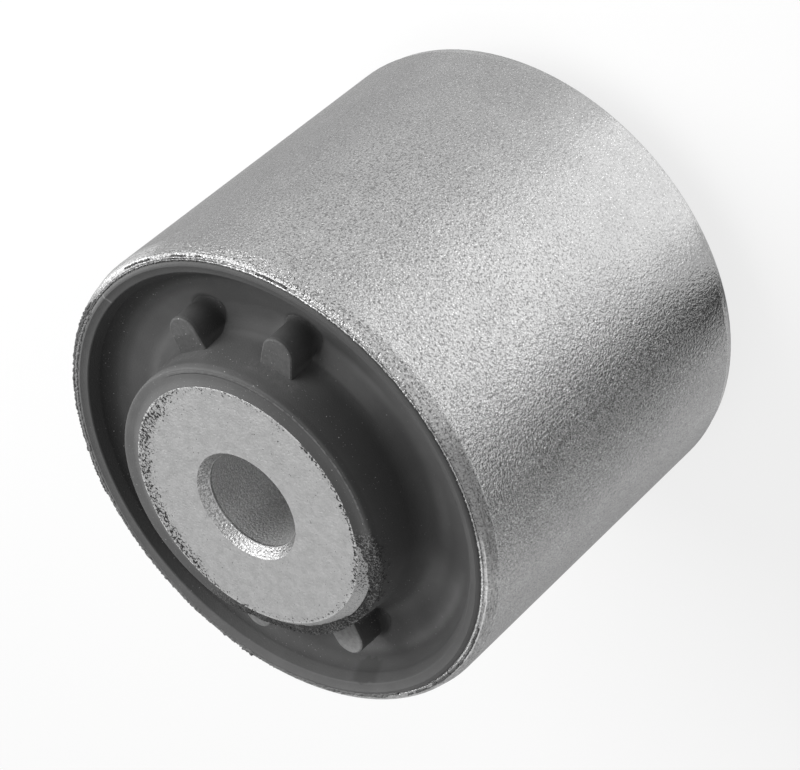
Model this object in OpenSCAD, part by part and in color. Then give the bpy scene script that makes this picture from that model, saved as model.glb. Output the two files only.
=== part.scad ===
// Bonded rubber and metal mount: a steel sleeve, a moulded rubber element and a bored metal core.
// Millimetres, +Z up. The origin is the centre of the core's lower end face, and the mount stands
// on that face. +X points between the two ribs of one pair.

/* [Outer sleeve] */
// Outside diameter of the sleeve
sleeve_d = 70; // [66:0.5:76]
// Length of the sleeve
sleeve_len = 58; // [46:0.5:80]
// Wall of the sleeve
sleeve_wall = 2.5; // [2.2:0.1:2.8]
// Length of the lead-in taper at each end of the sleeve
lead_len = 1.1; // [0.5:0.1:2]
// Radial depth of the lead-in taper
lead_in = 0.27; // [0.1:0.01:0.4]
// Length of the rounded nose beyond the taper
nose_len = 0.95; // [0.5:0.05:1.4]
// Radial depth of the rounded nose
nose_in = 0.83; // [0.5:0.01:0.9]

/* [Inner core] */
// Outside diameter of the core
core_d = 39.2; // [34:0.2:42]
// How far the core stands out past each end of the sleeve
core_proud = 5.75; // [4:0.05:9]
// Radial width of the chamfer round each end of the core
core_chamfer_w = 1.43; // [0.8:0.01:2]
// Axial length of the chamfer round each end of the core
core_chamfer_len = 1.3; // [0.8:0.05:1.9]
// Diameter of the bolt bore
bore_d = 14.3; // [10.3:0.1:18.3]
// Diameter of the countersunk mouth of the bore
mouth_d = 16.4; // [12.5:0.1:20]
// Depth of the countersunk mouth
mouth_len = 1.5; // [0.5:0.1:3]

/* [Rubber lip] */
// How far the lip laps over the end face of the sleeve
lip_lap = 0.95; // [0.5:0.05:1.1]
// Radial width of the lip's flat ring
lip_w = 1.85; // [1.2:0.05:3]
// Height of the lip's outer edge above the sleeve's end
lip_rise = 0.4; // [0.2:0.05:1]
// Height of the lip's inner edge above the sleeve's end
lip_inner_rise = 0.05; // [0:0.05:0.4]
// Corner rounding of the lip
lip_round = 0.25; // [0.1:0.05:0.3]

/* [Rubber dish] */
// Depth of the dish floor at the lip, below the sleeve's end
dish_depth = 3.4; // [3:0.1:8]
// How much deeper the floor lies at the collar
dish_fall = 1; // [0:0.1:3]
// Radial draft of the lip's inner wall
lip_draft = 0.7; // [0.2:0.1:1.2]
// Fillet that carries the lip's inner wall into the floor
lip_fillet = 2.6; // [0.3:0.1:3]

/* [Rubber collar] */
// Rubber wall round the core at the collar's top
collar_wall = 1.1; // [0.8:0.1:2.5]
// How far the collar's rim lies below the core's end face
collar_below = 0.5; // [0.3:0.05:1.2]
// Gap of bare chamfer between the collar and the core's end face
collar_show = 0.1; // [0.05:0.05:0.25]
// Radial draft of the collar's outer wall
collar_draft = 0.6; // [0.1:0.1:1.2]
// Fillet between the collar and the floor
collar_fillet = 3.2; // [1:0.1:4]
// Corner rounding of the collar's rim
collar_round = 0.35; // [0.1:0.05:0.5]

/* [Ribs] */
// Angle between the two ribs of a pair
rib_spread = 39; // [24:1:70]
// Width of a rib at its rounded end
rib_w = 4.9; // [3:0.1:7]
// Width of a rib where it leaves the collar
rib_root_w = 5.4; // [3:0.1:8]
// Distance of a rib's outer end from the mount's axis
rib_reach = 26.1; // [24:0.1:28]
// Height of a rib's face above the sleeve's end
rib_rise = 1.3; // [0:0.1:3]

/* [Torn collar] */
// Direction of the place where the upper collar is torn away, from +X
tear_at = -127; // [-180:1:180]
// Depth of the tear below the core's end face, at the core's edge
tear_depth = 1.45; // [0.8:0.05:2.5]
// Slant of the torn face
tear_tilt = 19; // [12:1:26]

/* [Hidden] */
$fn = 96;
eps = 0.01;
arc_steps = 6;
sleeve_r = sleeve_d / 2;
seat_r = sleeve_r - sleeve_wall;
core_r = core_d / 2;
core_len = sleeve_len + 2 * core_proud;
mid_z = core_len / 2;
// Heights measured from the mount's middle plane
sleeve_end = sleeve_len / 2;
core_end = core_len / 2;
lip_out_r = seat_r + lip_lap;
lip_in_r = lip_out_r - lip_w;
floor_out_r = lip_in_r - lip_draft;
collar_r = core_r + collar_wall;
collar_foot_r = collar_r + collar_draft;
collar_top = core_end - collar_below;
floor_out_z = sleeve_end - dish_depth;
floor_in_z = floor_out_z - dish_fall;
rib_bury = 2;

// Points of an arc from angle a0 to a1, for rounding an outline in the radius-height plane
function arc(centre, radius, a0, a1) =
    [for (i = [0:arc_steps]) let (a = a0 + (a1 - a0) * i / arc_steps)
        centre + radius * [cos(a), sin(a)]];

// The same outline on the lower half, in the order that closes the ring
function mirrored(points) =
    [for (i = [len(points) - 1:-1:0]) [points[i][0], -points[i][1]]];

// Upper half of the sleeve's outside: body, lead-in taper, then the rounded nose
function sleeve_nose() = concat(
    [[sleeve_r, sleeve_end - nose_len - lead_len]],
    [for (i = [0:4]) let (a = 90 * i / 4)
        [sleeve_r - lead_in - nose_in * (1 - cos(a)), sleeve_end - nose_len * (1 - sin(a))]],
    [[seat_r, sleeve_end]]);

// Upper half of the core's outside, from its side to the mouth of its bore
function core_outside() = [
    [core_r, core_end - core_chamfer_len],
    [core_r - core_chamfer_w, core_end],
    [mouth_d / 2, core_end],
    [bore_d / 2, core_end - mouth_len]];

// Upper face of the rubber, from the core's chamfer outwards to the sleeve's seat
function rubber_face() = concat(
    [[core_r, core_end - core_chamfer_len]],
    [[core_r - core_chamfer_w * (1 - collar_show / core_chamfer_len), core_end - collar_show]],
    arc([collar_r - collar_round, collar_top - collar_round], collar_round, 80, 5),
    arc([collar_foot_r + collar_fillet, floor_in_z + collar_fillet], collar_fillet, 180, 270),
    arc([floor_out_r - lip_fillet, floor_out_z + lip_fillet], lip_fillet, 275, 360),
    arc([lip_in_r + lip_round, sleeve_end + lip_inner_rise - lip_round], lip_round, 180, 95),
    arc([lip_out_r - lip_round, sleeve_end + lip_rise - lip_round], lip_round, 80, 0),
    [[lip_out_r, sleeve_end], [seat_r, sleeve_end]]);

module turned(points) {
    translate([0, 0, mid_z])
        rotate_extrude()
            polygon(concat(points, mirrored(points)));
}

// One stub rib, from inside the collar to its rounded end, standing on the dish floor
module rib() {
    tip = rib_reach - rib_w / 2;
    translate([0, 0, floor_in_z - rib_bury])
        linear_extrude(sleeve_end + rib_rise - floor_in_z + rib_bury)
            union() {
                translate([tip, 0]) circle(d = rib_w, $fn = 48);
                polygon([
                    [core_r + eps, -rib_root_w / 2], [tip, -rib_w / 2],
                    [tip, rib_w / 2], [core_r + eps, rib_root_w / 2]]);
            }
}

// Two opposite pairs of ribs on the upper face
module ribs() {
    translate([0, 0, mid_z])
        for (side = [0, 180], half = [-1, 1])
            rotate([0, 0, side + half * rib_spread / 2]) rib();
}

// The slanted slice that is missing from the upper collar
module tear() {
    slab = 2 * core_d;
    rotate([0, 0, tear_at])
        translate([core_r, 0, core_len - tear_depth])
            rotate([0, tear_tilt, 0])
                translate([-core_r / 2, -slab / 2, 0])
                    cube([core_r, slab, slab / 4]);
}

module outer_sleeve() {
    color("silver") turned(sleeve_nose());
}

module inner_core() {
    color("gainsboro") turned(core_outside());
}

module rubber_element() {
    color("dimgray")
        difference() {
            union() {
                turned(rubber_face());
                difference() {
                    union() {
                        ribs();
                        translate([0, 0, core_len]) mirror([0, 0, 1]) ribs();
                    }
                    translate([0, 0, -eps]) cylinder(d = core_d, h = core_len + 2 * eps);
                }
            }
            tear();
        }
}

outer_sleeve();
rubber_element();
inner_core();
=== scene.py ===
import math
import random

import bpy
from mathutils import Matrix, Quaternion, Vector


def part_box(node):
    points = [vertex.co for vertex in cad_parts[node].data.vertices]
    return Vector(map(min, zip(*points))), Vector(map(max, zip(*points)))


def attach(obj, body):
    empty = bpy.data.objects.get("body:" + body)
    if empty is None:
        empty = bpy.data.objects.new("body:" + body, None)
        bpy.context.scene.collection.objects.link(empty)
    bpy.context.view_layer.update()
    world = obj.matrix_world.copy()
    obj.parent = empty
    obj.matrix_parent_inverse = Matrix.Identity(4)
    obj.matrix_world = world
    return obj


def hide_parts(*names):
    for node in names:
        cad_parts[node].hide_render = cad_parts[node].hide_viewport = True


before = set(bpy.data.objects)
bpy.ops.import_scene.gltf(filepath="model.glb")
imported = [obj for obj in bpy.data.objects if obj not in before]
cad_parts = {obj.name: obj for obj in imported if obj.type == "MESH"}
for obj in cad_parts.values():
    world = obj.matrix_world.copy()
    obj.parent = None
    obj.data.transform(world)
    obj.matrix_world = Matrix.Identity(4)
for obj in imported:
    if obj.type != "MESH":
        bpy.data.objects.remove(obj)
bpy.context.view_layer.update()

MM = 0.001

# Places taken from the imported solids, in metres
SLEEVE_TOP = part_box("outer_sleeve")[1].z
SLEEVE_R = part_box("outer_sleeve")[1].x
CORE_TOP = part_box("inner_core")[1].z
CORE_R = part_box("inner_core")[1].x
MIDDLE = CORE_TOP / 2

# Camera, at the photograph's angle
CAMERA_AIM = Vector((-0.85, -0.73, 36.88)) * MM
CAMERA_DISTANCE = 452.8 * MM
CAMERA_AZIMUTH = math.radians(-49.62)
CAMERA_ELEVATION = math.radians(38.43)
CAMERA_ROLL = math.radians(-130.81)
CAMERA_LENS = 149.6


def direction(azimuth, elevation):
    """A unit vector at these angles, in radians, from +X and from the horizon."""
    flat = math.cos(elevation)
    return Vector((flat * math.cos(azimuth), flat * math.sin(azimuth), math.sin(elevation)))


def studio_camera():
    """The camera that looks at the torn end from above one side, rolled as the photograph is."""
    data = bpy.data.cameras.new("camera")
    data.lens = CAMERA_LENS
    data.sensor_width = 36
    data.clip_start = 10 * MM
    data.clip_end = 10
    camera = bpy.data.objects.new("camera", data)
    bpy.context.scene.collection.objects.link(camera)
    back = direction(CAMERA_AZIMUTH, CAMERA_ELEVATION)
    camera.location = CAMERA_AIM + back * CAMERA_DISTANCE
    camera.rotation_mode = "QUATERNION"
    roll = Quaternion((0, 0, 1), CAMERA_ROLL)
    camera.rotation_quaternion = (-back).to_track_quat("-Z", "Y") @ roll
    bpy.context.scene.camera = camera


class Value:
    """A number from a shader node, with Python's operators as Math nodes."""

    def __init__(self, finish, socket):
        self.finish = finish
        self.socket = socket

    def _math(self, operation, first, second=0.0):
        return self.finish.node("ShaderNodeMath", {"operation": operation}, {0: first, 1: second})

    def __add__(self, other):
        return self._math("ADD", self, other)

    def __radd__(self, other):
        return self._math("ADD", other, self)

    def __sub__(self, other):
        return self._math("SUBTRACT", self, other)

    def __rsub__(self, other):
        return self._math("SUBTRACT", other, self)

    def __mul__(self, other):
        return self._math("MULTIPLY", self, other)

    def __rmul__(self, other):
        return self._math("MULTIPLY", other, self)

    def __truediv__(self, other):
        return self._math("DIVIDE", self, other)

    def __pow__(self, power):
        return self._math("POWER", self, power)

    def __abs__(self):
        return self._math("ABSOLUTE", self)

    def __gt__(self, other):
        return self._math("GREATER_THAN", self, other)

    def highest(self, other):
        return self._math("MAXIMUM", self, other)

    def lowest(self, other):
        return self._math("MINIMUM", self, other)

    def ramp(self, start, end):
        """0 at start, 1 at end and a smooth step between them."""
        return self.finish.node(
            "ShaderNodeMapRange", {"interpolation_type": "SMOOTHSTEP"},
            {"Value": self, "From Min": start, "From Max": end, "To Min": 0.0, "To Max": 1.0})


class Finish:
    """A node tree under construction: a material's or the world's."""

    def __init__(self, owner):
        owner.use_nodes = True
        self.owner = owner
        self.tree = owner.node_tree

    def node(self, kind, settings=None, sockets=None, out=0):
        """Adds a node, gives it its settings, then the values or links of its sockets."""
        node = self.tree.nodes.new(kind)
        for name, value in (settings or {}).items():
            setattr(node, name, value)
        for name, value in (sockets or {}).items():
            self.feed(node.inputs[name], value)
        return Value(self, node.outputs[out]) if node.outputs else None

    def feed(self, socket, value):
        if isinstance(value, Value):
            self.tree.links.new(value.socket, socket)
        else:
            socket.default_value = value

    def shader(self, **values):
        """Sets or links sockets of the material's Principled shader. An underscore stands for a space."""
        principled = self.tree.nodes["Principled BSDF"]
        for name, value in values.items():
            self.feed(principled.inputs[name.replace("_", " ")], value)

    def millimetres(self):
        """Object coordinates in millimetres, as a vector, with their x, y and z."""
        place = self.node("ShaderNodeTexCoord", out="Object")
        place = self.node("ShaderNodeVectorMath", {"operation": "SCALE"}, {0: place, "Scale": 1 / MM})
        parts = self.tree.nodes.new("ShaderNodeSeparateXYZ")
        self.feed(parts.inputs[0], place)
        return place, *(Value(self, out) for out in parts.outputs)

    def noise(self, place, scale, detail=2.0, rough=0.5):
        """Soft noise of 0 to 1, with about this many features to each unit of the place."""
        return self.node("ShaderNodeTexNoise", None,
                         {"Vector": place, "Scale": scale, "Detail": detail, "Roughness": rough})

    def cells(self, place, scale):
        """Distance to the nearest of many scattered points."""
        return self.node("ShaderNodeTexVoronoi", None, {"Vector": place, "Scale": scale}, out="Distance")

    def vector(self, x, y, z):
        return self.node("ShaderNodeCombineXYZ", None, {0: x, 1: y, 2: z})

    def grey(self, value):
        """A neutral colour from one number."""
        return self.node("ShaderNodeCombineColor", None, {0: value, 1: value, 2: value})

    def bump(self, height, depth):
        """A normal from a height of 0 to 1 that stands for this many millimetres."""
        return self.node("ShaderNodeBump", None, {"Height": height, "Strength": 1.0, "Distance": depth * MM})


def select_only(piece):
    """Makes one piece the only selected and active one."""
    bpy.ops.object.select_all(action="DESELECT")
    piece.select_set(True)
    bpy.context.view_layer.objects.active = piece


def refine(piece, kind, **settings):
    """Gives a piece a modifier and applies it."""
    modifier = piece.modifiers.new(kind.lower(), kind)
    for name, value in settings.items():
        setattr(modifier, name, value)
    select_only(piece)
    bpy.ops.object.modifier_apply(modifier=modifier.name)


def settle(piece):
    """Puts a piece's place, turn and size into its mesh, so that its object sits at the origin."""
    select_only(piece)
    bpy.ops.object.transform_apply(location=True, rotation=True, scale=True)
    return piece


def copy_of(piece, name):
    """A copy with a mesh of its own."""
    twin = piece.copy()
    twin.data = piece.data.copy()
    twin.name = name
    bpy.context.scene.collection.objects.link(twin)
    return twin


def join(pieces, name):
    """One piece from several."""
    select_only(pieces[0])
    for piece in pieces:
        piece.select_set(True)
    bpy.ops.object.join()
    pieces[0].name = name
    return pieces[0]


def close_up(piece):
    """Merges doubled points and turns all faces outwards."""
    select_only(piece)
    bpy.ops.object.mode_set(mode="EDIT")
    bpy.ops.mesh.select_all(action="SELECT")
    bpy.ops.mesh.remove_doubles(threshold=MM / 1000)
    bpy.ops.mesh.normals_make_consistent(inside=False)
    bpy.ops.object.mode_set(mode="OBJECT")


def turned(name, outline, steps):
    """A ring turned about the axis from a closed outline of (radius, height) points in millimetres."""
    mesh = bpy.data.meshes.new(name)
    points = [(radius * MM, 0, height * MM) for radius, height in outline]
    mesh.from_pydata(points, [(i, (i + 1) % len(points)) for i in range(len(points))], [])
    piece = bpy.data.objects.new(name, mesh)
    bpy.context.scene.collection.objects.link(piece)
    select_only(piece)
    bpy.ops.object.mode_set(mode="EDIT")
    bpy.ops.mesh.select_all(action="SELECT")
    bpy.ops.mesh.spin(steps=steps, angle=math.tau, center=(0, 0, 0), axis=(0, 0, 1))
    bpy.ops.object.mode_set(mode="OBJECT")
    close_up(piece)
    return piece


def arc(radius, height, size, first, last, steps=5):
    """Points of an arc about (radius, height), from one angle to another in degrees."""
    return [(radius + size * math.cos(math.radians(a)), height + size * math.sin(math.radians(a)))
            for a in (first + (last - first) * i / steps for i in range(steps + 1))]


# The rubber element, in millimetres
TOP = CORE_TOP / MM
END = SLEEVE_TOP / MM
CORE = CORE_R / MM
SEAT = SLEEVE_R / MM - 2.5
LIP_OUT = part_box("rubber_element")[1].x / MM
LIP_IN = LIP_OUT - 1.85
# Width and height of the roll along the lip's outer edge
LIP_ROLL = (0.6, 0.39)
LIP_INNER_ROUND = 0.35
LIP_FOOT = LIP_IN - 0.7
LIP_FILLET = 2.6
FLOOR_OUT = END - 3.4
FLOOR_IN = FLOOR_OUT - 1.0
COLLAR = CORE + 1.1
COLLAR_TOP = TOP - 0.5
COLLAR_FOOT = COLLAR + 0.6
COLLAR_FILLET = 3.2
RING_STEPS = 480


def rubber_face():
    """The upper face of the rubber, from the core's chamfer out to the sleeve, as (radius, height)."""
    return [
        (CORE, TOP - 1.3),
        (CORE - 1.44, TOP - 0.005),
        (CORE - 1.1, TOP - 0.14),
        (CORE - 0.7, COLLAR_TOP + 0.13),
        (CORE - 0.2, COLLAR_TOP + 0.06),
        (CORE + 0.4, COLLAR_TOP + 0.02),
        *arc(COLLAR - 0.4, COLLAR_TOP - 0.4, 0.4, 88, 5, 5),
        (COLLAR + 0.12, COLLAR_TOP - 1.2),
        (COLLAR + 0.35, COLLAR_TOP - 3.6),
        *arc(COLLAR_FOOT + COLLAR_FILLET, FLOOR_IN + COLLAR_FILLET, COLLAR_FILLET, 180, 285, 11),
        *arc(LIP_FOOT - LIP_FILLET, FLOOR_OUT + LIP_FILLET, LIP_FILLET, 285, 352, 10),
        *arc(LIP_IN + LIP_INNER_ROUND, END + 0.05 - LIP_INNER_ROUND, LIP_INNER_ROUND, 170, 95, 7),
        (LIP_IN + 0.9, END + 0.2),
        *((LIP_OUT + LIP_ROLL[0] * (math.cos(a) - 1), END + LIP_ROLL[1] * math.sin(a))
          for a in map(math.radians, (90, 70, 50, 30, 12, 0))),
        (SEAT, END),
    ]


def mirrored(points):
    """The same outline at the lower end, in the order that closes the ring."""
    return [(radius, TOP - height) for radius, height in reversed(points)]


RIB_SPREAD = 39
RIB_W = 4.9
RIB_ROOT_W = 5.4
RIB_REACH = 26.1
RIB_TOP = END + 1.3
# Where a rib's root begins to round off inside the collar, measured from the core's side
RIB_START = 0.4
# How a rib's outline widens or narrows, in millimetres, at each height from its foot to its face
RIB_LEVELS = [
    (FLOOR_IN - 0.5, 0.6), (FLOOR_IN + 0.1, 0.55), (FLOOR_IN + 0.35, 0.28), (FLOOR_IN + 0.7, 0.1),
    (FLOOR_IN + 1.2, 0.03), (RIB_TOP - 0.3, -0.04), (RIB_TOP - 0.12, -0.1), (RIB_TOP, -0.28),
]


def rib():
    """One stub rib along +X, with a rounded end, a flared foot and a softened edge."""
    tip = RIB_REACH - RIB_W / 2
    low, flare = RIB_LEVELS[0]
    size = (RIB_W / 2 + flare) * MM
    bpy.ops.object.select_all(action="DESELECT")
    bpy.ops.mesh.primitive_circle_add(vertices=48, radius=size, fill_type="NGON", location=(0, 0, 0))
    piece = bpy.context.object
    for point in piece.data.vertices:
        behind = point.co.x < -size * 0.05
        if behind:
            point.co.x -= (tip - CORE - RIB_START) * MM
            point.co.y *= RIB_ROOT_W / RIB_W
    bpy.ops.object.mode_set(mode="EDIT")
    bpy.ops.mesh.select_all(action="SELECT")
    bpy.ops.transform.translate(value=(tip * MM, 0, low * MM))
    for (height, grow), (below, before) in zip(RIB_LEVELS[1:], RIB_LEVELS):
        bpy.ops.mesh.extrude_region_move(TRANSFORM_OT_translate={"value": (0, 0, (height - below) * MM)})
        ratio = (RIB_W / 2 + grow) / (RIB_W / 2 + before)
        bpy.ops.transform.resize(value=(ratio, ratio, 1), center_override=(tip * MM, 0, height * MM))
    bpy.ops.object.mode_set(mode="OBJECT")
    close_up(piece)
    return settle(piece)


def all_ribs():
    """Two pairs of ribs on the upper face and two on the lower."""
    first = rib()
    ribs = []
    for side in (0, 180):
        for half in (-1, 1):
            for over in (0, math.pi):
                twin = copy_of(first, "rib")
                turn = math.radians(side + half * RIB_SPREAD / 2)
                twin.rotation_euler = (over, 0, turn)
                twin.location.z = CORE_TOP if over else 0
                ribs.append(settle(twin))
    bpy.data.objects.remove(first)
    return join(ribs, "ribs")


# Slices torn off the upper collar: direction and slant in degrees, depth in millimetres at the core's edge
TEARS = [(-127, 19, 1.45), (-155, 8.5, 0.94), (177, 22, 1.0)]
# Depth of the torn faces' waves, and size of those waves and of the finer grit on them
TEAR_ROUGHNESS = 0.55
TEAR_WAVES = 1.6
TEAR_GRIT = 0.35
# Size in millimetres and division of the block that cuts a slice: across the core's edge, along it, up
CUTTER_SIZE = (14, 38, 5)
CUTTER_GRID = (70, 190)
# Crumbs of rubber along the torn edge: how many, first and last direction in degrees, least and most size
CRUMBS = 420
CRUMB_SPREAD = (-208, -92)
CRUMB_SIZES = (0.05, 0.15)


def clouds(name, size):
    """A procedural texture for displacing, with features of this size in millimetres."""
    texture = bpy.data.textures.new(name, "CLOUDS")
    texture.noise_scale = size * MM
    texture.noise_depth = 2
    return texture


def torn_height(x, y, tear):
    """Height in millimetres of a torn face over the point (x, y)."""
    azimuth, tilt, depth = tear
    out = x * math.cos(math.radians(azimuth)) + y * math.sin(math.radians(azimuth))
    return (TOP - depth) - (out - CORE) * math.tan(math.radians(tilt))


def tear_cutter(azimuth, tilt, depth):
    """A block with a ragged underside that takes a torn slice off the collar."""
    bpy.ops.object.select_all(action="DESELECT")
    across, along = CUTTER_GRID
    width, length, height = CUTTER_SIZE
    bpy.ops.mesh.primitive_grid_add(x_subdivisions=across, y_subdivisions=along, size=1, location=(0, 0, 0))
    cutter = bpy.context.object
    cutter.scale = (width * MM, length * MM, 1)
    settle(cutter)
    refine(cutter, "DISPLACE", texture=clouds("tear_waves", TEAR_WAVES), strength=TEAR_ROUGHNESS * MM,
           texture_coords="LOCAL")
    refine(cutter, "DISPLACE", texture=clouds("tear_grit", TEAR_GRIT), strength=0.5 * TEAR_ROUGHNESS * MM,
           texture_coords="LOCAL")
    bpy.ops.object.mode_set(mode="EDIT")
    bpy.ops.mesh.select_all(action="SELECT")
    bpy.ops.mesh.extrude_region_move(TRANSFORM_OT_translate={"value": (0, 0, height * MM)})
    bpy.ops.object.mode_set(mode="OBJECT")
    close_up(cutter)
    cutter.rotation_euler = (0, math.radians(tilt), math.radians(azimuth))
    cutter.location = direction(math.radians(azimuth), 0) * CORE_R + Vector((0, 0, CORE_TOP - depth * MM))
    return settle(cutter)


# How far the upper collar's rim is moved on one side, and the direction of that side in degrees
COLLAR_LIFT = Vector((-0.05, 0.28, 0.22)) * MM
LIFT_SIDE = 95
# The move is made in equal parts, each over a wider stretch to both sides, in degrees
LIFT_SPREADS = range(20, 62, 3)


def lift_collar(piece):
    """Raises the upper collar's rim on one side, where it stands almost flush with the core's face."""
    side = direction(math.radians(LIFT_SIDE), 0)
    select_only(piece)
    bpy.ops.object.mode_set(mode="EDIT")
    bpy.ops.mesh.select_mode(type="VERT")
    for spread in LIFT_SPREADS:
        bpy.ops.mesh.select_all(action="DESELECT")
        bpy.ops.object.mode_set(mode="OBJECT")
        for point in piece.data.vertices:
            flat = Vector((point.co.x, point.co.y, 0))
            around = flat.normalized().dot(side) > math.cos(math.radians(spread))
            on_collar = (CORE + 0.2) * MM < flat.length < (COLLAR + 0.6) * MM
            point.select = around and on_collar and point.co.z > (COLLAR_TOP - 1.4) * MM
        bpy.ops.object.mode_set(mode="EDIT")
        bpy.ops.transform.translate(value=COLLAR_LIFT / len(LIFT_SPREADS))
    bpy.ops.object.mode_set(mode="OBJECT")


def moulded_rubber():
    """The rubber element with its lips, dishes, collars and ribs, and the torn place on one collar."""
    face = rubber_face()
    piece = turned("moulded_rubber", face + mirrored(face), RING_STEPS)
    lift_collar(piece)
    ribs = all_ribs()
    refine(piece, "BOOLEAN", operation="UNION", solver="EXACT", object=ribs)
    bpy.data.objects.remove(ribs)
    for tear in TEARS:
        cutter = tear_cutter(*tear)
        refine(piece, "BOOLEAN", operation="DIFFERENCE", solver="EXACT", object=cutter)
        bpy.data.objects.remove(cutter)
    select_only(piece)
    bpy.ops.object.shade_smooth_by_angle(angle=math.radians(32))
    return piece


def threads(name, runs, thickness, step, stray, seed):
    """Thin uneven threads laid round the axis, with a point every step degrees, up to stray off its place.

    A run is its first and last angle in degrees, its radius and its height in millimetres."""
    pick = random.Random(seed)
    line = bpy.data.curves.new(name, "CURVE")
    line.dimensions = "3D"
    line.bevel_depth = thickness * MM
    line.bevel_resolution = 1
    line.use_fill_caps = True
    for first, last, radius, height in runs:
        count = max(4, round((last - first) / step))
        ring = last - first >= 360
        spline = line.splines.new("POLY")
        spline.points.add(count - 1)
        spline.use_cyclic_u = ring
        for i, point in enumerate(spline.points):
            angle = math.radians(first + (last - first) * i / (count if ring else count - 1))
            place = direction(angle, 0) * (radius + pick.uniform(-stray, stray))
            point.co = (place.x * MM, place.y * MM, (height + pick.uniform(-stray, stray) / 2) * MM, 1)
            point.radius = pick.uniform(0.5, 1.4)
    piece = bpy.data.objects.new(name, line)
    bpy.context.scene.collection.objects.link(piece)
    select_only(piece)
    bpy.ops.object.convert(target="MESH")
    piece = bpy.context.object
    close_up(piece)
    return piece


# Threads of the upper rim: first and last angle in degrees, radius and height in millimetres.
# A burr of steel runs round inside the nose, flash fills parts of the nose's groove, and a torn film of
# rubber laps over the nose on one side.
BURR = [(0, 360, 33.66, END + 0.03)]
FLASH = [
    (-121.9, -116.7, 34.05, END), (-128.1, -122.4, 34.1, END), (-130.9, -128.8, 34.12, END),
    (-135.5, -131.5, 34.05, END), (-141.7, -135.9, 34.04, END), (-143.7, -141.8, 33.87, END),
    (-150.4, -146.3, 34.0, END), (-153.4, -151.6, 34.05, END), (25.2, 29.8, 34.23, END),
    (20.7, 24.5, 34.2, END), (8.8, 13.3, 34.18, END), (4.2, 5.8, 34.26, END), (-19.2, -11.0, 34.02, END),
]
RAGGED_LIP = [
    (50, 204, 33.38, END + 0.22), (60, 200, 33.62, END + 0.12), (62, 118, 33.5, END + 0.2),
    (155.5, 158.5, 33.95, END + 0.16), (98, 100, 33.9, END + 0.16), (73, 76, 33.95, END + 0.14),
    (46, 112, 33.85, END + 0.06), (48, 106, 34.1, END), (50, 100, 34.24, END - 0.14),
    (53, 94, 34.36, END - 0.32), (57, 90, 34.4, END - 0.52),
]


def torn_crumbs():
    """Crumbs of rubber left along the torn edge of the collar."""
    pick = random.Random(11)
    bpy.ops.object.select_all(action="DESELECT")
    bpy.ops.mesh.primitive_ico_sphere_add(subdivisions=1, radius=1, location=(0, 0, 0))
    first = bpy.context.object
    crumbs = []
    for _ in range(CRUMBS):
        azimuth = math.radians(pick.uniform(*CRUMB_SPREAD))
        reach = pick.uniform(CORE + 0.05, COLLAR + 0.5)
        place = direction(azimuth, 0) * reach
        height = min(torn_height(place.x, place.y, tear) for tear in TEARS) - 3 * max(0, reach - COLLAR)
        crumb = copy_of(first, "crumb")
        crumb.location = (place.x * MM, place.y * MM, min(height, COLLAR_TOP - 0.05) * MM)
        crumb.rotation_euler = [pick.uniform(0, math.tau) for _ in range(3)]
        crumb.scale = [pick.uniform(*CRUMB_SIZES) * MM for _ in range(3)]
        crumbs.append(crumb)
    bpy.data.objects.remove(first)
    return settle(join(crumbs, "torn_crumbs"))


def new_finish(name):
    return Finish(bpy.data.materials.new(name))


def mix(first, second, share):
    """first where share is 0 and second where it is 1."""
    return first + (second - first) * share


def between(value, first, last, soft):
    """1 between two values, falling to 0 over a soft edge."""
    return value.ramp(first - soft, first) * (1.0 - value.ramp(last, last + soft))


def dots(f, place, scale, size):
    """1 inside small scattered dots. scale is how many there are per millimetre, size their share of it."""
    return 1.0 - f.cells(place, scale).ramp(size * 0.6, size)


MID = TOP / 2


class Round:
    """Where a finish is on the mount: place in millimetres, radius, distance from the middle plane."""

    def __init__(self, f):
        self.place, self.x, self.y, self.z = f.millimetres()
        self.radius = (self.x * self.x + self.y * self.y) ** 0.5
        self.end = abs(self.z - MID)
        self.upper = self.z.ramp(MID, MID + 5.0)

    def side(self, azimuth, inner, outer):
        """1 up to the inner angle from an azimuth and 0 from the outer one, in degrees from above."""
        turn = math.radians(azimuth)
        cosine = (self.x * math.cos(turn) + self.y * math.sin(turn)) / self.radius
        return cosine.ramp(math.cos(math.radians(outer)), math.cos(math.radians(inner)))


# Distances from the middle plane where the sleeve's lead-in and nose begin
LEAD_START = 26.95
NOSE_START = 28.05
# Radius where the rounded nose meets the sleeve's flat end
NOSE_IN = SLEEVE_R / MM - 1.1
STEEL_TONES = (0.39, 0.425)


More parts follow.
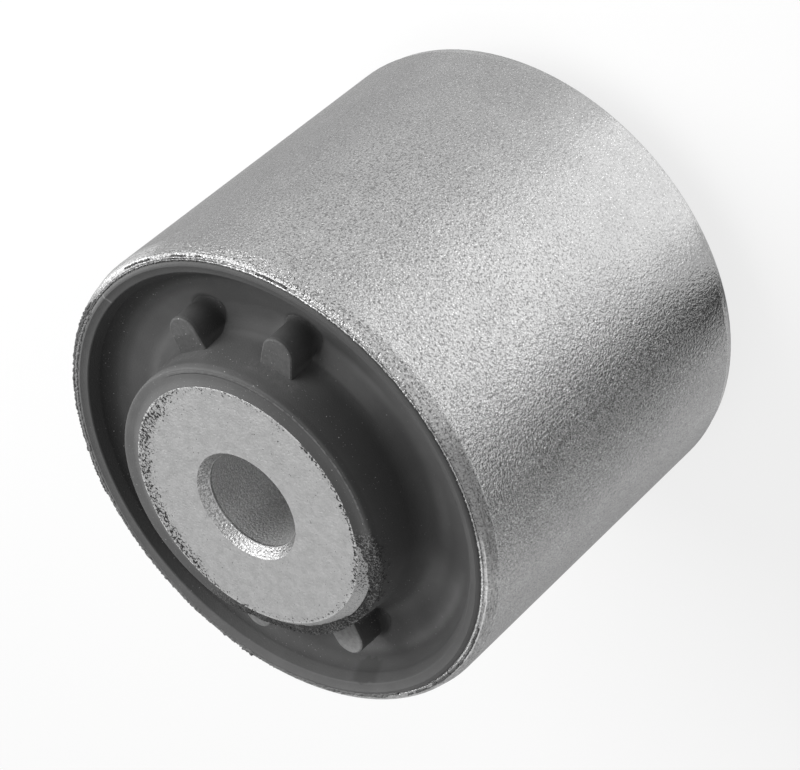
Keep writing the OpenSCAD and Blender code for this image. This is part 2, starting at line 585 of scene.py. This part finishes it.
def turned_end(f, at, tone, lead, nose):
    """The steel's tone on the upper lead-in and nose, with painted shade, painted light and painted glare
    from side to side, and painted highlight lines by the nose.
    """
    streaked_side = at.side(-128, 14, 26)
    # Sides of painted shade, painted light and painted glare on the lead-in and nose
    dark = at.side(-82, 8, 24)
    pale = at.side(-19, 8, 22)
    painted_nose_shade_side = at.side(-3, 20, 36)
    glare = at.side(32, 6, 15) * at.z.ramp(60, 61)
    streak = f.noise(f.vector(at.x * 0.7, at.y * 0.7, at.z * 7.0), 1.0, 3.0, 0.6)
    # Darker streaks on the lead-in on one side, where the groove is darker too
    tone = tone * (1.0 - lead * at.upper * streaked_side * streak.ramp(0.35, 0.65) * 0.4)
    # Painted shade on one side of the lead-in and a little painted light on another
    tone = tone * (1.0 - lead * at.upper * dark * 0.42) * (1.0 + (lead - nose) * at.upper * pale * 0.05)
    # Painted shade on a band of the nose on one side, and painted glare near the rim on another
    band = between(at.end, NOSE_START + 0.4, NOSE_START + 0.8, 0.15)
    tone = tone * (1.0 - band * at.upper * painted_nose_shade_side * 0.42) * (1.0 + glare * 0.6)
    # The groove, and painted highlight lines and a painted shade line where the nose meets the flat end
    rim = nose * at.upper
    wander = at.radius + (f.noise(at.place, 0.9, 3.0, 0.6) - 0.5) * 0.2
    bright = at.side(-112, 14, 26)
    groove = between(wander, NOSE_IN + 0.14, NOSE_IN + 0.24, 0.06) * mix(0.1, 0.7, streaked_side)
    shade = (1.0 - wander.ramp(NOSE_IN - 0.1, NOSE_IN + 0.05)) * at.side(22, 14, 34) * 0.65
    tone = tone * (1.0 - groove * rim) * (1.0 - shade * rim)
    # Painted highlight lines inside the nose's edge and outside the groove, on a few sides
    inner = 1.0 - wander.ramp(NOSE_IN - 0.18, NOSE_IN - 0.05)
    inner = inner * (bright + at.side(-12, 14, 26) * 0.2 + dark * 0.35)
    outer = between(wander, NOSE_IN + 0.15, NOSE_IN + 0.4, 0.07) * bright
    return tone + (inner * 0.4 + outer * 0.35) * rim * mix(0.35, 1.0, streak.ramp(0.35, 0.55))


def blasted_steel():
    """Zinc-coated steel, shot-blasted to an orange-peel grain, with turned ends."""
    f = new_finish("blasted_steel")
    at = Round(f)
    lead = at.end.ramp(LEAD_START, LEAD_START + 0.3)
    nose = at.end.ramp(NOSE_START - 0.15, NOSE_START + 0.1)
    # The grain, deepest on one side and shallower toward the lower end
    grained = at.side(-60, 66, 100) * mix(0.6, 1.0, at.z.ramp(8, 30))
    height = f.noise(at.place, 2.2, 1.0) * 0.6 + f.noise(at.place, 5.0, 1.0) * 0.4
    height = height * mix(0.5, 1.0, grained)
    pits = 1.0 - f.noise(at.place, 3.4, 2.0, 0.7).ramp(0.3, 0.56)
    drift = f.noise(at.place, 0.16, 3.0).ramp(0.3, 0.7)
    blotches = f.noise(f.vector(at.x * 0.5, at.y * 0.5, at.z * 0.25), 1.0, 4.0, 0.6).ramp(0.35, 0.65)
    tone = mix(*STEEL_TONES, drift) - (1.0 - grained) * blotches * 0.03
    # Painted sparkle: deeper dark pits of the grain and a slightly lighter tone on one side, higher up the
    # sleeve
    sparkle = at.side(-35, 20, 45) * at.z.ramp(20, 40)
    depth = mix(0.12, 0.4, grained) + sparkle * 0.25 + lead * at.upper * 0.2
    tone = tone * (1.0 - pits * depth) * (1.0 + sparkle * 0.1)
    # Painted glints: bright points on the crests of the grain, more of them on two sides
    painted_glint_sides = at.side(-18, 14, 45) + at.side(20, 40, 85) * at.z.ramp(40, 62)
    glint = f.noise(at.place, 6.0, 1.0) + painted_glint_sides * 0.035
    tone = tone + glint.ramp(0.66, 0.74) * 0.35
    tone = turned_end(f, at, tone, lead, nose)
    f.shader(Base_Color=f.grey(tone.highest(0.03)), Metallic=1.0, Roughness=mix(0.2, 0.38, nose),
             Normal=f.bump(height, 0.24))
    return f.owner


RUBBER_TONES = (0.066, 0.075)
SPECK_TONE = 0.42
MARK_TONE = 0.2
# Rib faces: direction in degrees, tone
RIB_FACES = [(19.5, 0.088), (-19.5, 0.085), (-160.5, 0.32), (160.5, 0.21)]
# Painted light and shade on the dish floor: direction, inner and outer reach to each side in degrees,
# first and last radius, and how much paler than the rest, darker where below 0
FLOOR_PAINTED_LIGHT = [
    (48, 14, 40, 23.5, 27.0, 0.6), (-146, 20, 40, 23.8, 28.0, 1.5), (-105, 12, 30, 23.0, 25.0, 0.3),
    (-33, 10, 28, 21.8, 23.8, 0.75), (0, 5, 14, 21.5, 23.5, -0.35),
]


def rib_gap(x, y):
    """Distance in millimetres from the outline of the nearest rib, seen from above, for x and y of 0 up."""
    half = math.radians(RIB_SPREAD / 2)
    tip = RIB_REACH - RIB_W / 2
    beyond = (x * math.cos(half) + y * math.sin(half) - tip).highest(0.0)
    aside = y * math.cos(half) - x * math.sin(half)
    return (beyond * beyond + aside * aside) ** 0.5 - RIB_W / 2


def torn_place(at):
    """1 on the torn faces of the upper collar."""
    above = at.z - torn_height(at.x, at.y, TEARS[0])
    for tear in TEARS[1:]:
        above = above.highest(at.z - torn_height(at.x, at.y, tear))
    place = (1.0 - at.radius.ramp(COLLAR + 0.2, COLLAR_FOOT)) * at.side(-152, 58, 66)
    return place * (1.0 - abs(above).ramp(0.4, 0.75))


def on_collar(at):
    """1 on the top of a collar."""
    top = at.end.ramp(COLLAR_TOP - MID - 1.25, COLLAR_TOP - MID - 0.85)
    return top * (1.0 - at.radius.ramp(COLLAR + 0.2, COLLAR + 0.5))


def on_ribs(at):
    """1 on the faces of the ribs."""
    top = at.end.ramp(RIB_TOP - MID - 0.25, RIB_TOP - MID - 0.05)
    return top * between(at.radius, COLLAR + 0.25, RIB_REACH + 0.9, 0.1)


def lip_tone(at, tone, near_side):
    """The lip, with painted light on its far side and along its rolled edge away from the near side, paler
    beyond its edge, and the black film beyond that.
    """
    lip = at.radius.ramp(LIP_IN, LIP_IN + 0.2)
    roll = at.radius.ramp(LIP_OUT - 0.55, LIP_OUT - 0.1) * (1.0 - near_side)
    film = at.radius.ramp(LIP_OUT + 0.15, LIP_OUT + 0.5)
    # Painted light on the lip's far side and on its rolled edge, but not on the near side
    tone = tone * (1.0 + lip * at.side(130, 60, 115) * 0.5) * (1.0 + roll * 0.5)
    return tone * (1.0 + (at.radius > LIP_OUT + 0.01) * 0.3) * (1.0 - film * 0.55)


def painted_floor_light(at, tone):
    """Painted light and shade in patches on the upper dish floor."""
    low = at.upper * (1.0 - at.z.ramp(FLOOR_OUT + 0.3, FLOOR_OUT + 0.8))
    for azimuth, inner, outer, first, last, paler in FLOOR_PAINTED_LIGHT:
        here = at.side(azimuth, inner, outer) * between(at.radius, first, last, 1.5)
        tone = tone * (1.0 + here * low * paler)
    return tone


def painted_hollow_shade(at, tone, near_side):
    """Painted shade on the lip's wall and the collar's foot in the trough on one side, on the lip's wall on
    the near side, at the collar's root on another side and low on the ribs' flanks, and painted light on the
    dish floor on one side.
    """
    trough = at.side(72, 48, 85) * at.upper
    wall = at.radius.ramp(LIP_FOOT - 2.4, LIP_FOOT - 0.7)
    wall = wall * (1.0 - at.radius.ramp(LIP_IN + 0.15, LIP_IN + 0.35))
    foot = between(at.radius, COLLAR + 0.5, COLLAR + 2.3, 1.0)
    tone = tone * (1.0 - trough * (wall * 0.6 + foot * 0.3)) * (1.0 - near_side * wall * 0.35)
    root = at.side(-72, 25, 45) * between(at.radius, COLLAR + 0.5, COLLAR + 2.3, 1.5) * at.upper
    floor = at.side(-88, 30, 50) * between(at.radius, 25.0, 29.5, 1.5)
    tone = tone * (1.0 - root * 0.4) * (1.0 + floor * 0.25)
    flank = (1.0 - rib_gap(abs(at.x), abs(at.y)).ramp(0.15, 1.0)) * at.upper
    flank = flank * at.radius.ramp(COLLAR_FOOT + 0.6, COLLAR_FOOT + 1.3)
    flank = flank * (1.0 - at.z.ramp(RIB_TOP - 0.7, RIB_TOP - 0.4))
    return tone * (1.0 - flank * mix(0.72, 0.25, at.z.ramp(FLOOR_IN + 1.65, RIB_TOP - 0.55)))


def powder_specks(f, at, tone, ribs, collar):
    """Pale specks in patches, most of them round the ribs' feet and along the lip's wall."""
    patch = f.noise(at.place, 0.45, 2.0).ramp(0.5, 0.62)
    near_ribs = at.side(-150, 20, 32) * between(at.radius, 21, 29, 0.5)
    near_wall = at.side(90, 60, 100) * between(at.radius, 29.0, 30.8, 0.3)
    dusty = (near_ribs * 0.9 + near_wall + patch * 0.3 + ribs + collar * 0.7).lowest(1.0)
    specks = dots(f, at.place, 1.5, 0.14) * f.noise(at.place, 1.1, 1.0).ramp(0.5, 0.56)
    scatter = f.noise(at.place, 1.7, 1.0).ramp(0.54 - near_ribs * 0.09, 0.6)
    specks = (specks + dots(f, at.place, 3.2, 0.19) * scatter * 0.6).lowest(1.0)
    return mix(tone, SPECK_TONE, specks * dusty)


def mould_marks(f, at, tone):
    """A dark wedge in the lip's wall, and the mould's parting mark across the lip."""
    wander = at.radius + (f.noise(at.place, 0.8, 2.0) - 0.5) * 1.6
    wedge = at.side(-166.5, 2.5, 5) * between(wander, LIP_FOOT - 1.0, LIP_IN - 0.1, 0.3) * at.upper
    tone = tone * (1.0 - wedge * 0.35)
    mark = at.side(42, 0.18, 0.35) * between(at.radius, LIP_IN + 0.3, LIP_OUT + 0.05, 0.1) * at.upper
    return mix(tone, MARK_TONE, mark)


def satin_rubber():
    """Moulded black rubber, greyed by its release powder."""
    f = new_finish("satin_rubber")
    at = Round(f)
    near_side = at.side(-40, 40, 70)
    collar = on_collar(at)
    ribs = on_ribs(at)
    tone = mix(*RUBBER_TONES, f.noise(at.place, 0.3, 3.0).ramp(0.3, 0.7))
    tone = lip_tone(at, tone, near_side)
    # Painted light on the collar's top on one side and painted shade round the rest
    tone = tone * mix(1.0, mix(0.8, 1.55, at.side(60, 30, 100)), collar)
    # Painted light and shade on the dish floor
    tone = painted_floor_light(at, tone)
    powder = f.noise(at.place, 1.6, 3.0, 0.6).ramp(0.3, 0.7)
    for azimuth, level in RIB_FACES:
        tone = mix(tone, level * mix(0.85, 1.15, powder), ribs * at.side(azimuth, 9, 12))
    # Painted shade in the hollows and painted light on part of the dish floor
    tone = painted_hollow_shade(at, tone, near_side)
    tone = powder_specks(f, at, tone, ribs, collar)
    # The torn place, most broken up where the tear is deepest
    torn = torn_place(at)
    grit = f.noise(at.place, 3.2, 2.0, 0.7)
    broken = mix(0.02, 0.34, grit.ramp(0.46, 0.68))
    tone = mix(tone, broken, torn * mix(0.3, 0.85, at.side(-112, 24, 45)))
    tone = mould_marks(f, at, tone)
    # A ridge on the collar
    ridge = between(at.radius, CORE + 0.4, CORE + 0.65, 0.12) * at.side(-30, 42, 60) * collar
    tone = mix(tone, 0.14, ridge * powder)
    height = f.noise(at.place, 5.0, 2.0) * 0.12 + torn * grit + ridge * 0.5
    f.shader(Base_Color=f.grey(tone), Roughness=mix(0.74, 0.85, torn), Normal=f.bump(height, 0.3))
    return f.owner


ALLOY_TONES = (0.43, 0.485)
# Radii of the core's flat face, its bore and the mouth of its bore
FACE_R = CORE - 1.43
BORE_R = 7.15
MOUTH_R = 8.2


def rubber_flecks(f, at, tone, grit):
    """Black flecks on the core's face, thick along one side and thin round the rest, and a painted highlight
    along its edge.
    """
    face = at.end.ramp(MID - 0.06, MID - 0.02)
    thick = at.side(86, 40, 66)
    edge = FACE_R - at.radius
    band = thick * (1.0 - edge.ramp(1.2, 3.4)) + (1.0 - edge.ramp(0.3, 1.3)) * 0.58
    band = band + at.side(-80, 30, 40) * (1.0 - edge.ramp(0.3, 0.8)) * 0.5
    fleck = f.noise(at.place, 3.1, 2.0, 0.65) + band.lowest(1.0) * 0.21
    fleck = fleck + f.noise(at.place, 0.5, 2.0).ramp(0.5, 0.7) * 0.02
    tone = mix(tone, 0.03, fleck.ramp(0.69, 0.74) * face)
    # Painted highlight along the face's edge, stronger on the side where the flecks are thick
    bright = between(edge, 0.0, 0.22, 0.06) * face * grit.ramp(0.42, 0.5)
    return tone + bright * mix(0.1, 0.28, thick)


def chamfer_tone(at, tone, grit):
    """The core's chamfer, bare where the collar is torn away."""
    chamfer = at.radius.ramp(FACE_R + 0.02, FACE_R + 0.08)
    tone = mix(tone, mix(0.25, 0.36, grit.ramp(0.35, 0.6)), chamfer)
    black = at.side(-98, 17, 28) * chamfer
    return mix(tone, 0.02, (grit + black * 0.1).ramp(0.62, 0.68) * chamfer)


def tube_tone(at, tone, tube, grit):
    """The bore inside its mouth, with painted light that grows with depth, painted shade on one side and a
    dark seam near the top.
    """
    deep = 1.0 - at.z.ramp(TOP - 12, TOP - 2)
    painted_bore_shade = at.side(-165, 25, 75)
    seam = between(at.z, TOP - 1.8, TOP - 1.5, 0.05) * grit.ramp(0.35, 0.55)
    # Painted light deeper in the bore and painted shade on one side
    inside = mix(0.62, 0.92, grit.ramp(0.46, 0.64)) * mix(0.9, 1.2, deep) * (1.0 - painted_bore_shade * 0.5)
    return mix(tone, inside.lowest(0.95) * (1.0 - seam * 0.6), tube)


def core_alloy():
    """Blasted aluminium with black flecks of rubber left along its edges."""
    f = new_finish("core_alloy")
    at = Round(f)
    fine = f.noise(at.place, 3.0, 4.0)
    grit = f.noise(at.place, 4.2, 2.0, 0.7)
    tone = mix(*ALLOY_TONES, f.noise(at.place, 0.7, 4.0, 0.6).ramp(0.35, 0.65))
    tone = tone + (fine - 0.5) * 0.12
    tone = rubber_flecks(f, at, tone, grit)
    tone = chamfer_tone(at, tone, grit)
    # The bore with its countersunk mouth, and the straight tube inside it
    bore = 1.0 - at.radius.ramp(MOUTH_R - 0.05, MOUTH_R + 0.01)
    tube = 1.0 - at.radius.ramp(BORE_R + 0.01, BORE_R + 0.15)
    tone = mix(tone, mix(0.22, 0.45, grit.ramp(0.42, 0.6)), bore)
    tone = tube_tone(at, tone, tube, grit)
    f.shader(Base_Color=f.grey(tone), Metallic=mix(1.0, 0.25, tube), Roughness=mix(0.45, 0.35, bore),
             Normal=f.bump(fine * mix(0.7, 1.2, bore), 0.16))
    return f.owner


def seen_directly(f):
    """1 for the rays that show the background: from the camera, from gloss and through glass."""
    rays = f.tree.nodes.new("ShaderNodeLightPath")
    names = ("Is Camera Ray", "Is Glossy Ray", "Is Transmission Ray")
    camera, gloss, glass = (Value(f, rays.outputs[name]) for name in names)
    return camera.highest(gloss).highest(glass)


# Strength of the world's even light, and how much of the floor's own white is seen
WORLD_LEVEL = 0.3
FLOOR_WHITE = 0.8
FLOOR_RADIUS = 3.0


def white_world():
    """White where it is seen, and a soft even light for the rest."""
    world = bpy.data.worlds.new("studio")
    bpy.context.scene.world = world
    f = Finish(world)
    f.tree.nodes.clear()
    light = f.node("ShaderNodeBackground", None, {"Color": (1, 1, 1, 1), "Strength": WORLD_LEVEL})
    white = f.node("ShaderNodeBackground", None, {"Color": (1, 1, 1, 1), "Strength": 1.0})
    both = f.node("ShaderNodeMixShader", None, {0: seen_directly(f), 1: light, 2: white})
    f.node("ShaderNodeOutputWorld", None, {"Surface": both})


def pale_floor():
    """A white floor that keeps a faint shadow of the mount."""
    bpy.ops.mesh.primitive_circle_add(vertices=64, radius=FLOOR_RADIUS, fill_type="NGON", location=(0, 0, 0))
    floor = bpy.context.object
    floor.name = "floor"
    f = new_finish("white_floor")
    f.tree.nodes.clear()
    matt = f.node("ShaderNodeBsdfDiffuse", None, {"Color": (1, 1, 1, 1)})
    white = f.node("ShaderNodeEmission", None, {"Color": (1, 1, 1, 1), "Strength": 1.0})
    both = f.node("ShaderNodeMixShader", None, {0: seen_directly(f) * FLOOR_WHITE, 1: matt, 2: white})
    f.node("ShaderNodeOutputMaterial", None, {"Surface": both})
    floor.data.materials.append(f.owner)


def soft_lamp(name, azimuth, elevation, distance, width, height, level):
    """An area lamp that faces the mount's middle. level is the radiance of its face, where 1 is white."""
    data = bpy.data.lights.new(name, "AREA")
    data.shape = "RECTANGLE"
    data.size = width
    data.size_y = height
    data.energy = level * math.pi * width * height
    lamp = bpy.data.objects.new(name, data)
    bpy.context.scene.collection.objects.link(lamp)
    back = direction(math.radians(azimuth), math.radians(elevation))
    lamp.location = Vector((0, 0, MIDDLE)) + back * distance
    lamp.rotation_mode = "QUATERNION"
    lamp.rotation_quaternion = (-back).to_track_quat("-Z", "Y")
    lamp.visible_camera = False


def plain_card(name, corners, level):
    """A flat four-cornered studio card of even brightness, seen only in gloss."""
    mesh = bpy.data.meshes.new(name)
    mesh.from_pydata([tuple(corner) for corner in corners], [], [(0, 1, 2, 3)])
    sheet = bpy.data.objects.new(name, mesh)
    bpy.context.scene.collection.objects.link(sheet)
    f = new_finish(name)
    f.tree.nodes.clear()
    face = f.node("ShaderNodeEmission", None, {"Color": (1, 1, 1, 1), "Strength": level})
    f.node("ShaderNodeOutputMaterial", None, {"Surface": face})
    mesh.materials.append(f.owner)
    sheet.visible_camera = False
    sheet.visible_diffuse = False
    sheet.visible_shadow = False


# How far the floor cards run, as a share of the farthest place seen mirrored, and their height
CARD_REACH = 1.6
CARD_HEIGHT = 1 * MM


def floor_card(name, first, last, level, pinch=0):
    """A card on the floor that the camera sees mirrored in the sleeve between these two angles of its side.

    The angles are in degrees from the camera's azimuth. A ray that meets the side at such an angle
    leaves it at twice the angle, so each edge of the card runs that way from the sleeve. pinch draws the
    near corners in, in degrees."""
    reach = SLEEVE_TOP / math.tan(CAMERA_ELEVATION) * CARD_REACH
    corners = []
    for angle, far in ((first + pinch, 0), (first, reach), (last, reach), (last - pinch, 0)):
        side = CAMERA_AZIMUTH + math.radians(angle)
        away = CAMERA_AZIMUTH + 2 * math.radians(angle)
        place = direction(side, 0) * SLEEVE_R + direction(away, 0) * far
        corners.append((place.x, place.y, CARD_HEIGHT))
    plain_card(name, corners, level)


def sky_card(name, azimuth, elevation, distance, width, height, level):
    """A card that stands off the mount and faces its middle."""
    back = direction(math.radians(azimuth), math.radians(elevation))
    turn = (-back).to_track_quat("-Z", "Y")
    middle = Vector((0, 0, MIDDLE)) + back * distance
    corners = [middle + turn @ Vector((x * width / 2, y * height / 2, 0))
               for x, y in ((-1, -1), (1, -1), (1, 1), (-1, 1))]
    plain_card(name, corners, level)


# Floor cards: name, first and last angle on the sleeve, brightness, how far the near end is pinched
FLOOR_CARDS = [
    ("right_dim_card", -100, -74, 0.4),
    ("right_grey_card", -74, -50, 0.74),
    ("dark_card", -46, -28, 0.09, 6),
    ("bright_card", -20, 14, 1.78),
    ("soft_bright_card", 14, 26, 1.2),
    ("left_grey_card", 42, 62, 0.92),
    ("left_dim_card", 62, 78, 0.68),
    ("left_edge_card", 78, 100, 0.5),
]


def dress(piece, finish):
    """Gives a piece one material."""
    piece.data.materials.clear()
    piece.data.materials.append(finish)


bpy.ops.object.select_all(action="DESELECT")
studio_camera()
white_world()
pale_floor()
soft_lamp("key_lamp", azimuth=42, elevation=36, distance=0.5, width=0.6, height=0.36, level=5.0)
for card in FLOOR_CARDS:
    floor_card(*card)
sky_card("hub_card", azimuth=130, elevation=38, distance=0.5, width=0.3, height=0.25, level=0.5)
steel, rubber, alloy = blasted_steel(), satin_rubber(), core_alloy()
for name, finish in (("outer_sleeve", steel), ("rubber_element", rubber), ("inner_core", alloy)):
    dress(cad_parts[name], finish)
body = moulded_rubber()
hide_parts("rubber_element")
burr = threads("rim_burr", BURR, thickness=0.15, step=0.25, stray=0.06, seed=3)
flash = threads("rim_flash", FLASH, thickness=0.14, step=0.4, stray=0.04, seed=5)
film = threads("ragged_lip", RAGGED_LIP, thickness=0.2, step=0.42, stray=0.12, seed=7)
for piece, finish, slot in (
        (body, rubber, "moulded_rubber"), (burr, steel, "sleeve_steel"), (flash, rubber, "moulded_rubber"),
        (film, rubber, "moulded_rubber"), (torn_crumbs(), rubber, "moulded_rubber")):
    dress(piece, finish)
    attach(piece, "root")
bpy.context.scene.view_settings.view_transform = "Standard"
